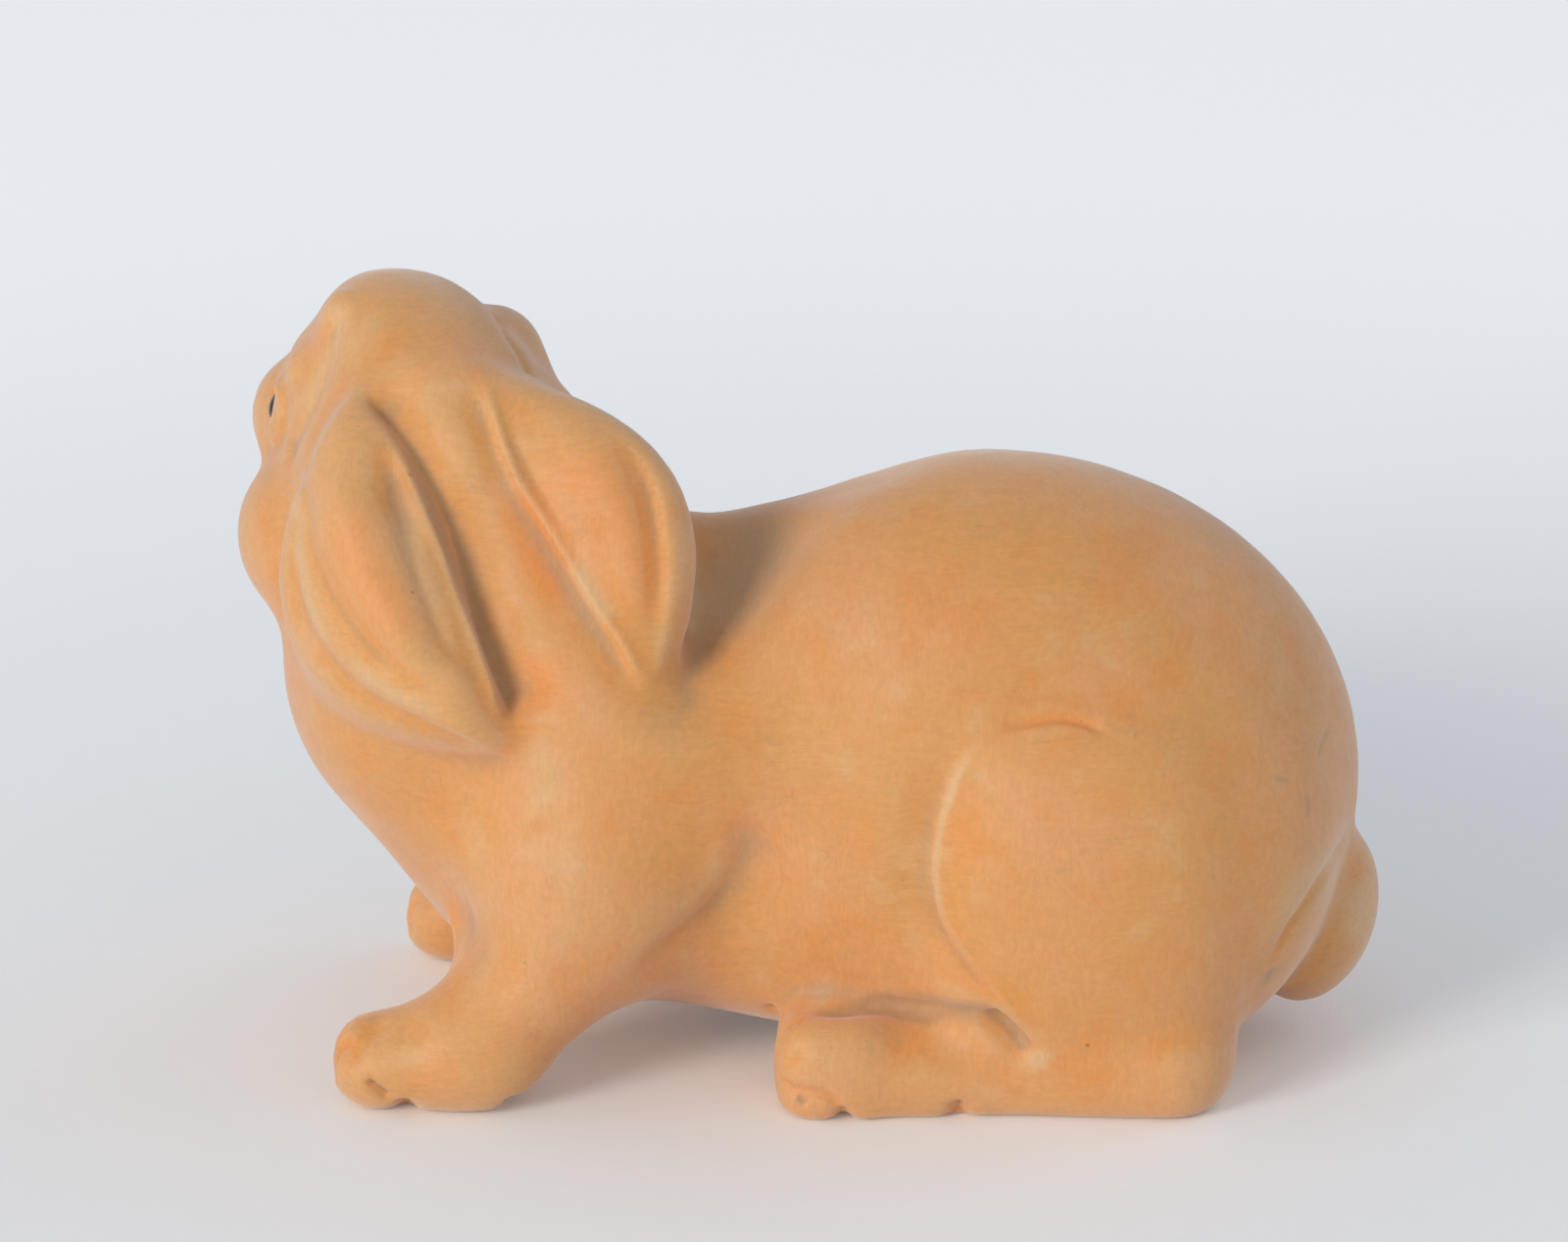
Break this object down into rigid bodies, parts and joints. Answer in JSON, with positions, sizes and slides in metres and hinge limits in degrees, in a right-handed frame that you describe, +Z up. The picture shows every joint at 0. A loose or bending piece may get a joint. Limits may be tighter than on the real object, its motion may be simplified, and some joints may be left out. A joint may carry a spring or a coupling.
{
  "type": "rabbit netsuke",
  "caption": "Crouching rabbit toggle carved from one block of wood, head turned back, with inlaid eyes, a cord channel under the belly and flat soles to stand on.",
  "frame": {"origin": "centre of the box's underside, on the surface that the four soles stand on", "axes": "+X from the rabbit's chest to its tail, +Y to the rabbit's right side, +Z up"},
  "size_m": [0.0504, 0.026, 0.034],
  "materials": {
    "boxwood": "satin, polished by hand",
    "horn": "polished"
  },
  "bodies": {
    "root": {"carved_body": "boxwood", "left_eye": "horn", "right_eye": "horn"}
  },
  "joints": []
}
